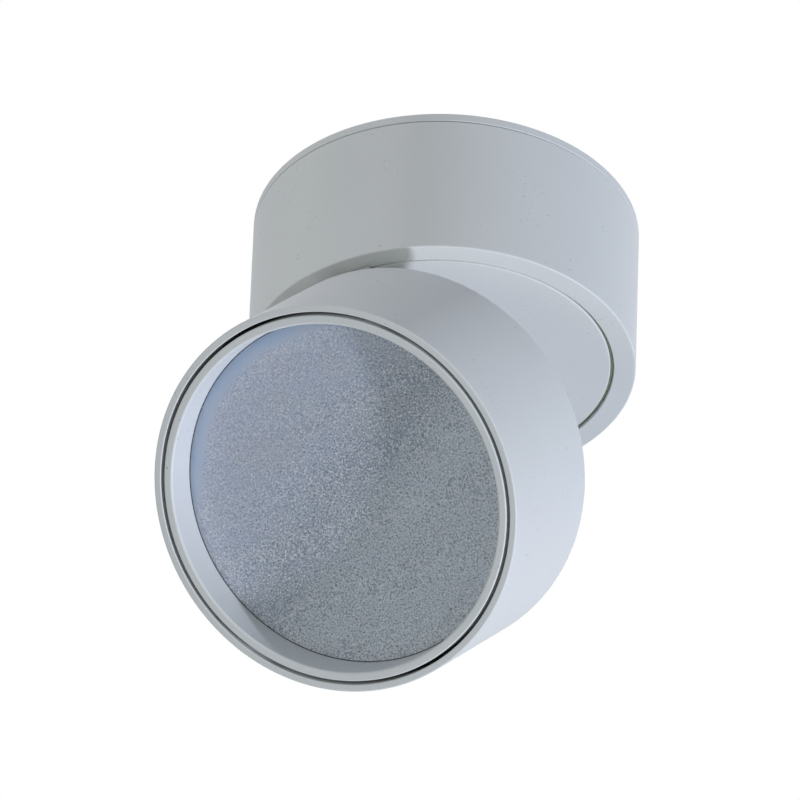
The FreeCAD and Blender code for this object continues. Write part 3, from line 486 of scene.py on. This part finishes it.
# %% Grain: two sizes of noise
grain, given, result = group("Grain", {"Size mm": 0.5, "Broad mm": 30.0}, ["Fine", "Broad"])
place = add(grain, "ShaderNodeTexCoord").outputs["Object"]
for label, size, detail in (("Fine", "Size mm", 2.0), ("Broad", "Broad mm", 1.0)):
    scale = math_node(grain, "DIVIDE", 1000.0, given.outputs[size])
    noise = add(grain, "ShaderNodeTexNoise", {"Vector": place, "Scale": scale, "Detail": detail})
    grain.links.new(noise.outputs["Fac"], result.inputs[label])

# %% Specks: a few of many small cells hold a dot
specks, given, result = group("Specks", {"Spacing mm": 6.0, "Size mm": 0.3, "Share": 0.2},
                              ["Mask"])
place = add(specks, "ShaderNodeTexCoord").outputs["Object"]
scale = math_node(specks, "DIVIDE", 1000.0, given.outputs["Spacing mm"])
cells = add(specks, "ShaderNodeTexVoronoi", {"Vector": place, "Scale": scale})
reach = math_node(specks, "DIVIDE", given.outputs["Size mm"], given.outputs["Spacing mm"])
chance = add(specks, "ShaderNodeSeparateColor", {"Color": cells.outputs["Color"]})
size = math_node(specks, "MULTIPLY", reach, chance.outputs["Green"])
dot = math_node(specks, "LESS_THAN", cells.outputs["Distance"], size)
picked = math_node(specks, "LESS_THAN", chance.outputs["Red"], given.outputs["Share"])
specks.links.new(math_node(specks, "MULTIPLY", dot, picked), result.inputs["Mask"])


# %% Placing a group
def use(tree, shared, **values):
    """Places a node group in a material with its own values."""
    placed = tree.nodes.new("ShaderNodeGroup")
    placed.node_tree = shared
    for label, value in values.items():
        placed.inputs[label.replace("_", " ")].default_value = value
    return placed


def blend_colours(tree, factor, a, b):
    """Mixes two colours: a where the factor is 0, b where it is 1."""
    mix = tree.nodes.new("ShaderNodeMix")
    mix.data_type = "RGBA"
    for socket, value in (("Factor", factor), ("A", a), ("B", b)):
        target = [s for s in mix.inputs if s.name == socket and s.enabled][0]
        if isinstance(value, bpy.types.NodeSocket):
            tree.links.new(value, target)
        elif isinstance(value, tuple):
            target.default_value = (*value, 1)
        else:
            target.default_value = value
    return [s for s in mix.outputs if s.enabled][0]


def finish(name, **sockets):
    """New material with constants set on the shader's own sockets, its tree and its shader."""
    material = bpy.data.materials.new(name)
    material.use_nodes = True
    shader = material.node_tree.nodes["Principled BSDF"]
    for label, value in sockets.items():
        label = label.replace("_", " ")
        shader.inputs[label].default_value = (*value, 1) if isinstance(value, tuple) else value
    return material, material.node_tree, shader


# %% [markdown]
# ## The satin coat
#
# The coat is a sprayed off-white paint, a little cool. Close up it has a very fine orange peel
# that breaks up the gloss, its tone drifts slightly over the piece, its rounded edges carry a
# painted highlight in a lighter tone, and it carries a few dark specks and fine scuffs.

# %% Coat materials
COAT, DUST = (0.69, 0.70, 0.705), (0.3, 0.3, 0.29)


def coat(name, colour):
    """Satin paint: base colour with grain, specks and a painted edge highlight, and a fine bump.
    """
    material, tree, shader = finish(name, Roughness=0.46, Specular_IOR_Level=0.42)
    fine = use(tree, grain, Size_mm=0.35, Broad_mm=28.0)
    rub = use(tree, grain, Size_mm=0.7, Broad_mm=13.0)
    dots = use(tree, specks, Spacing_mm=3.2, Size_mm=0.36, Share=0.4)
    tone = blend_colours(tree, ramp(tree, fine.outputs["Broad"], 0.35, 0.65),
                         tuple(c * 0.985 for c in colour), tuple(c * 1.012 for c in colour))
    tone = blend_colours(tree, ramp(tree, fine.outputs["Fine"], 0.3, 0.7, 0.0, 0.05), tone,
                         tuple(c * 0.8 for c in colour))
    # Painted highlight: a lighter tone along the rounded edges, broken up by the grain.
    edge = add(tree, "ShaderNodeAttribute", attribute_name="edge").outputs["Fac"]
    edge_highlight = math_node(tree, "MULTIPLY", edge,
                       ramp(tree, fine.outputs["Fine"], 0.3, 0.6, 0.3, 1.0))
    tone = blend_colours(tree, math_node(tree, "MULTIPLY", edge_highlight, 0.4), tone,
                         tuple(min(c * 1.16, 0.9) for c in colour))
    scuffs = math_node(tree, "MULTIPLY", ramp(tree, rub.outputs["Fine"], 0.6, 0.72, 0.0, 0.3),
                       ramp(tree, rub.outputs["Broad"], 0.55, 0.68))
    marks = math_node(tree, "MULTIPLY_ADD", dots.outputs["Mask"], 0.45, scuffs)
    tone = blend_colours(tree, marks, tone, DUST)
    tree.links.new(tone, shader.inputs["Base Color"])
    rough = ramp(tree, fine.outputs["Broad"], 0.3, 0.7, 0.43, 0.5)
    tree.links.new(rough, shader.inputs["Roughness"])
    bump = add(tree, "ShaderNodeBump", {"Height": fine.outputs["Fine"], "Strength": 0.05,
                                        "Distance": 0.0001})
    tree.links.new(bump.outputs["Normal"], shader.inputs["Normal"])
    return material


materials = {"coated_casting": coat("satin_coat", COAT), "coated_steel": coat("plate_coat", COAT)}
print("coats:", sorted(materials))

# %% [markdown]
# ## The frosted diffuser
#
# The disc is clear in front and frosted behind, with small facets that catch the light one by
# one. Each cell of a Voronoi texture stands for a facet, and some of them act as tiny mirrors,
# which a metallic dot gives: it reflects the pale room even where the lamp doesn't reach. The
# facets' fine grain is in the base colour too, and its bright spots are painted glints. Towards
# the rim, on the side that the main lamp reaches, the facets fade into a smooth bluish band of
# painted light. The clear front is a coat on the shader. Light that enters spreads inside the
# disc, which subsurface scattering shows. It spreads further in the real disc, so three base
# tones of painted light and shade help it: a light one inside the bezel's shadow, a dark one
# along the shadow's edge, and a middle one where the lamp reaches. A thin dark ring where the
# disc meets the bezel's wall is a painted contact shadow.

# %% Sparkle: a fine grain, and a tiny mirror in some of many small cells
sparkle, given, result = group("Sparkle", {"Facet mm": 0.5}, ["Level", "Glint"])
place = add(sparkle, "ShaderNodeTexCoord").outputs["Object"]
scale = math_node(sparkle, "DIVIDE", 1000.0, given.outputs["Facet mm"])
cells = add(sparkle, "ShaderNodeTexVoronoi", {"Vector": place, "Scale": scale})
chance = add(sparkle, "ShaderNodeSeparateColor", {"Color": cells.outputs["Color"]})
core = ramp(sparkle, cells.outputs["Distance"], 0.6, 0.15)
bright = ramp(sparkle, chance.outputs["Green"], 0.5, 0.98)
sparkle.links.new(math_node(sparkle, "MULTIPLY", bright, core), result.inputs["Glint"])
worms = add(sparkle, "ShaderNodeTexNoise", {"Vector": place, "Scale": scale, "Detail": 1.0})
level = math_node(sparkle, "MULTIPLY_ADD", worms.outputs["Fac"], 4.0, -2.05)
sparkle.links.new(level, result.inputs["Level"])

# %% Diffuser colours, from the shadow to the lit side, and of single facets
# Painted light and shade: one frost in the bezel's shadow, along its edge and where the lamp
# reaches.
SHADED, SHADOW_EDGE, LIT_FROST = (0.62, 0.68, 0.825), (0.415, 0.455, 0.565), (0.485, 0.53, 0.685)
# Painted light in a bluish band near the rim, a painted contact shadow, and a drift of the frost's
# own tone.
PAINTED_LIGHT_TONE, CONTACT_SHADOW, CLOUD = (0.41, 0.52, 0.73), (0.05, 0.055, 0.065), (0.53, 0.54, 0.6)
# The grain's bright colour gives painted glints; its dark colour is the frost's own texture.
GLINT, PIT = (0.9, 0.92, 0.93), (0.15, 0.18, 0.23)

# %% Diffuser material: how far a point lies from the middle, and how far towards the lit side
LIT_SIDE, LIP = Vector((-0.5, -0.72, 0.47)), WALL * MM
centre = Vector(leaned(np.array([[0.0, 0.0, GLASS * MM]]))[0].tolist())
material, tree, shader = finish("frosted", Roughness=0.5, Coat_Weight=1.0, Coat_Roughness=0.06,
                                Coat_IOR=1.5, Specular_IOR_Level=0.3, Subsurface_Weight=0.85,
                                Subsurface_Scale=0.008)
shader.inputs["Subsurface Radius"].default_value = (1.0, 1.0, 1.0)
place = add(tree, "ShaderNodeTexCoord").outputs["Object"]
out = add(tree, "ShaderNodeVectorMath", {0: place, 1: centre}, operation="SUBTRACT")
out = out.outputs["Vector"]
away = add(tree, "ShaderNodeVectorMath", {0: out}, operation="LENGTH").outputs["Value"]
lit = add(tree, "ShaderNodeVectorMath", {0: out, 1: LIT_SIDE / LIP}, operation="DOT_PRODUCT")
lit = lit.outputs["Value"]
# Painted light: a bluish band near the rim, only on the side that the main lamp reaches.
painted_light_band = math_node(tree, "MULTIPLY", ramp(tree, away, LIP - 5.5 * MM, LIP - MM),
                   ramp(tree, lit, 0.55, 0.82))
print("diffuser's middle, mm:", [round(v / MM, 1) for v in centre])

# %% Diffuser material: facets and base tone
facets = use(tree, sparkle, Facet_mm=0.45)
# The facets fade in the band of painted light, and are weaker on the lamp's side.
strength = math_node(tree, "MULTIPLY", ramp(tree, painted_light_band, 0.0, 0.6, 1.0, 0.05),
                     ramp(tree, lit, 0.1, 0.6, 1.0, 0.6))
level = math_node(tree, "MULTIPLY", facets.outputs["Level"], strength)
glint = math_node(tree, "MULTIPLY", facets.outputs["Glint"], strength)
tree.links.new(math_node(tree, "MULTIPLY", glint, 0.75), shader.inputs["Metallic"])
# Painted light and shade: the base tone follows how far a point lies towards the lamp's side.
tone = blend_colours(tree, ramp(tree, lit, -0.35, 0.02), SHADED, SHADOW_EDGE)
tone = blend_colours(tree, ramp(tree, lit, 0.02, 0.3), tone, LIT_FROST)
tone = blend_colours(tree, painted_light_band, tone, PAINTED_LIGHT_TONE)
drift = use(tree, grain, Size_mm=1.5, Broad_mm=9.0)
tone = blend_colours(tree, ramp(tree, drift.outputs["Broad"], 0.4, 0.65, 0.0, 0.25), tone, CLOUD)
# The grain's bright spots are painted glints, partly the frost's own texture.
tone = blend_colours(tree, math_node(tree, "MAXIMUM", level, 0.0), tone, GLINT)
pits = math_node(tree, "MULTIPLY", level, -0.9)
tone = blend_colours(tree, math_node(tree, "MAXIMUM", pits, 0.0), tone, PIT)
# Painted contact shadow: a thin dark ring where the disc meets the bezel's wall.
tone = blend_colours(tree, ramp(tree, away, LIP - 0.4 * MM, LIP - 0.1 * MM), tone, CONTACT_SHADOW)
tree.links.new(tone, shader.inputs["Base Color"])
materials["frosted"] = material

# %% [markdown]
# ## Seal, fixings and the pieces inside
#
# The seal is matt black rubber. The fixings are zinc plated, the inside pieces are plain plastic,
# rubber, board and bare metal. They are seldom seen, but each gets its own colour, gloss and
# grain.

# %% Plain finishes with a grain
def plain(name, colour, roughness, metallic=0.0, spread=0.12, size=0.8, bump=0.1, broad=12.0):
    """Colour and roughness varied by the grain group, with a fine bump."""
    material, tree, shader = finish(name, Metallic=metallic)
    noise = use(tree, grain, Size_mm=size, Broad_mm=broad)
    tone = blend_colours(tree, ramp(tree, noise.outputs["Broad"], 0.3, 0.7),
                         tuple(c * (1 - spread) for c in colour),
                         tuple(min(c * (1 + spread), 1.0) for c in colour))
    tree.links.new(tone, shader.inputs["Base Color"])
    tree.links.new(ramp(tree, noise.outputs["Fine"], 0.3, 0.7, roughness - 0.06, roughness + 0.06),
                   shader.inputs["Roughness"])
    made = add(tree, "ShaderNodeBump", {"Height": noise.outputs["Fine"], "Strength": bump,
                                        "Distance": 0.0001})
    tree.links.new(made.outputs["Normal"], shader.inputs["Normal"])
    return material


materials.update({
    "steel": plain("zinc_plate", (0.6, 0.61, 0.62), 0.34, metallic=1.0, size=0.5),
    "brass_tag": plain("brass", (0.72, 0.56, 0.26), 0.35, metallic=1.0, size=0.6),
    "bare_aluminium": plain("cast_aluminium", (0.72, 0.73, 0.74), 0.5, metallic=1.0, bump=0.3),
    "black_rubber": plain("black_rubber", (0.018, 0.018, 0.017), 0.7, size=0.4, bump=0.3),
    "soft_white": plain("white_silicone", (0.74, 0.74, 0.72), 0.6),
    "grey_pad": plain("thermal_pad", (0.2, 0.22, 0.25), 0.75, bump=0.3),
    "white_plastic": plain("white_plastic", (0.76, 0.76, 0.74), 0.45),
    "slide_plastic": plain("slide_plastic", (0.4, 0.44, 0.27), 0.45),
    "green_board": plain("green_board", (0.02, 0.12, 0.05), 0.35, spread=0.2),
    "dark_parts": plain("dark_parts", (0.03, 0.03, 0.035), 0.4),
    "white_board": plain("white_board", (0.8, 0.8, 0.79), 0.35, spread=0.03),
    "led_yellow": plain("led_phosphor", (0.85, 0.62, 0.12), 0.25, spread=0.08),
})

# %% Each piece and each node gets its finish
for piece in [o for o in bpy.context.scene.objects if o.type == "MESH"]:
    slot_name = slot_of.get(piece.name) or piece.get("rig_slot")
    piece.data.materials.clear()
    piece.data.materials.append(materials[slot_name])
print("materials:", sorted(materials))

# %% [markdown]
# ## Room and light
#
# The background is white as the camera and the gloss see it, but gives the object only a dim,
# slightly blue light. The floor lies far below, as under a ceiling light. The main lamp is small
# and stands low, to the right and a little behind, so the undersides and right sides are bright
# and the head's shadow falls across the base with a fairly sharp edge. Four wide, weak lamps fill
# in the other sides, each with a faint colour of its own.

# %% Background and floor
def seen(tree):
    """1 for rays from the camera, from gloss and through glass, else 0."""
    path = tree.nodes.new("ShaderNodeLightPath").outputs
    either = math_node(tree, "MAXIMUM", path["Is Camera Ray"], path["Is Glossy Ray"])
    return math_node(tree, "MAXIMUM", either, path["Is Transmission Ray"])


scene = bpy.context.scene
scene.view_settings.view_transform = "Standard"
world = bpy.data.worlds.new("room")
scene.world = world
world.use_nodes = True
tree = world.node_tree
AMBIENT, WHITE = (0.252, 0.294, 0.338), (1.0, 1.0, 1.0)
tree.links.new(blend_colours(tree, seen(tree), AMBIENT, WHITE),
               tree.nodes["Background"].inputs["Color"])

FLOOR_HALF, FLOOR_Z = 40, -3.4
floor = solid("floor", [(-FLOOR_HALF, -FLOOR_HALF, FLOOR_Z), (FLOOR_HALF, -FLOOR_HALF, FLOOR_Z),
                        (FLOOR_HALF, FLOOR_HALF, FLOOR_Z), (-FLOOR_HALF, FLOOR_HALF, FLOOR_Z)],
              [(0, 1, 2, 3)])
material, tree, shader = finish("floor_paint", Roughness=0.8)
noise = use(tree, grain, Size_mm=200.0, Broad_mm=3000.0)
tone = blend_colours(tree, noise.outputs["Broad"], (0.78, 0.78, 0.77), (0.82, 0.82, 0.81))
tree.links.new(tone, shader.inputs["Base Color"])
floor.data.materials.append(material)
print("floor at, m:", FLOOR_Z)

# %% Lamps
AIM = Vector((0, -0.02, -0.07))


def softbox(name, azimuth, elevation, distance, size, level, colour):
    """Disc lamp aimed at the light. Level 1 shows a white face that looks at it as white.

    Its direction from the light is (sin a cos e, -cos a cos e, sin e), for azimuth a and
    elevation e in degrees. Distance and size are metres. A lamp of power P at distance d gives an
    irradiance of P / (pi d^2), and a matt white face then has a radiance of P / (pi d)^2. So the
    power is level (pi d)^2.
    """
    lamp = bpy.data.lights.new(name, "AREA")
    lamp.shape, lamp.size = "DISK", size
    lamp.energy = level * (math.pi * distance) ** 2
    lamp.color = colour
    holder = bpy.data.objects.new(name, lamp)
    scene.collection.objects.link(holder)
    a, e = math.radians(azimuth), math.radians(elevation)
    back = Vector((math.sin(a) * math.cos(e), -math.cos(a) * math.cos(e), math.sin(e)))
    holder.location = AIM + back * distance
    holder.rotation_mode = "QUATERNION"
    holder.rotation_quaternion = back.to_track_quat("Z", "Y")
    print(name, "power:", round(lamp.energy, 2), "W")


softbox("main", 115, -40.7, 2.5, 0.12, 0.755, (0.84, 0.885, 1.0))
softbox("low_front", 0, -35, 2.0, 1.0, 0.215, (1.0, 0.98, 0.81))
softbox("high_front", 0, 50, 2.0, 1.0, 0.155, (1.0, 0.94, 0.98))
softbox("high_left", 300, 45, 2.0, 1.0, 0.045, (0.97, 1.0, 0.82))
softbox("low_back", 215, -32, 2.0, 1.0, 0.055, (1.0, 0.98, 0.8))

# %% [markdown]
# ## Camera
#
# The photograph is taken from far away with a long lens: its ellipses are almost those of a
# parallel view. The camera looks up at the light from the front right, and is rolled a little.

# %% Camera
AZIMUTH, UPWARD, ROLL = math.radians(35.328), math.radians(36.76), math.radians(2.219)
DISTANCE, ASIDE, BELOW = 3.0, 0.0106878, -0.0090412
SENSOR, FOCAL = 36, 524.65
right = np.array([math.cos(AZIMUTH), math.sin(AZIMUTH), 0])
down = np.array([-math.sin(AZIMUTH) * math.sin(UPWARD), math.cos(AZIMUTH) * math.sin(UPWARD),
                 -math.cos(UPWARD)])
ahead = np.array([-math.sin(AZIMUTH) * math.cos(UPWARD), math.cos(AZIMUTH) * math.cos(UPWARD),
                  math.sin(UPWARD)])
right, down = (math.cos(ROLL) * right - math.sin(ROLL) * down,
               math.sin(ROLL) * right + math.cos(ROLL) * down)
spot = np.array([0, 0, UNDERSIDE * MM]) - (ASIDE * right + BELOW * down + DISTANCE * ahead)
lens = bpy.data.cameras.new("camera")
lens.sensor_width, lens.lens = SENSOR, FOCAL
lens.clip_start, lens.clip_end = 0.1, 100
camera = bpy.data.objects.new("camera", lens)
scene.collection.objects.link(camera)
turn = Matrix(np.stack([right, -down, -ahead], axis=1).tolist()).to_4x4()
camera.matrix_world = Matrix.Translation(Vector(spot.tolist())) @ turn
scene.camera = camera
print("camera at, m:", [round(v, 3) for v in spot])
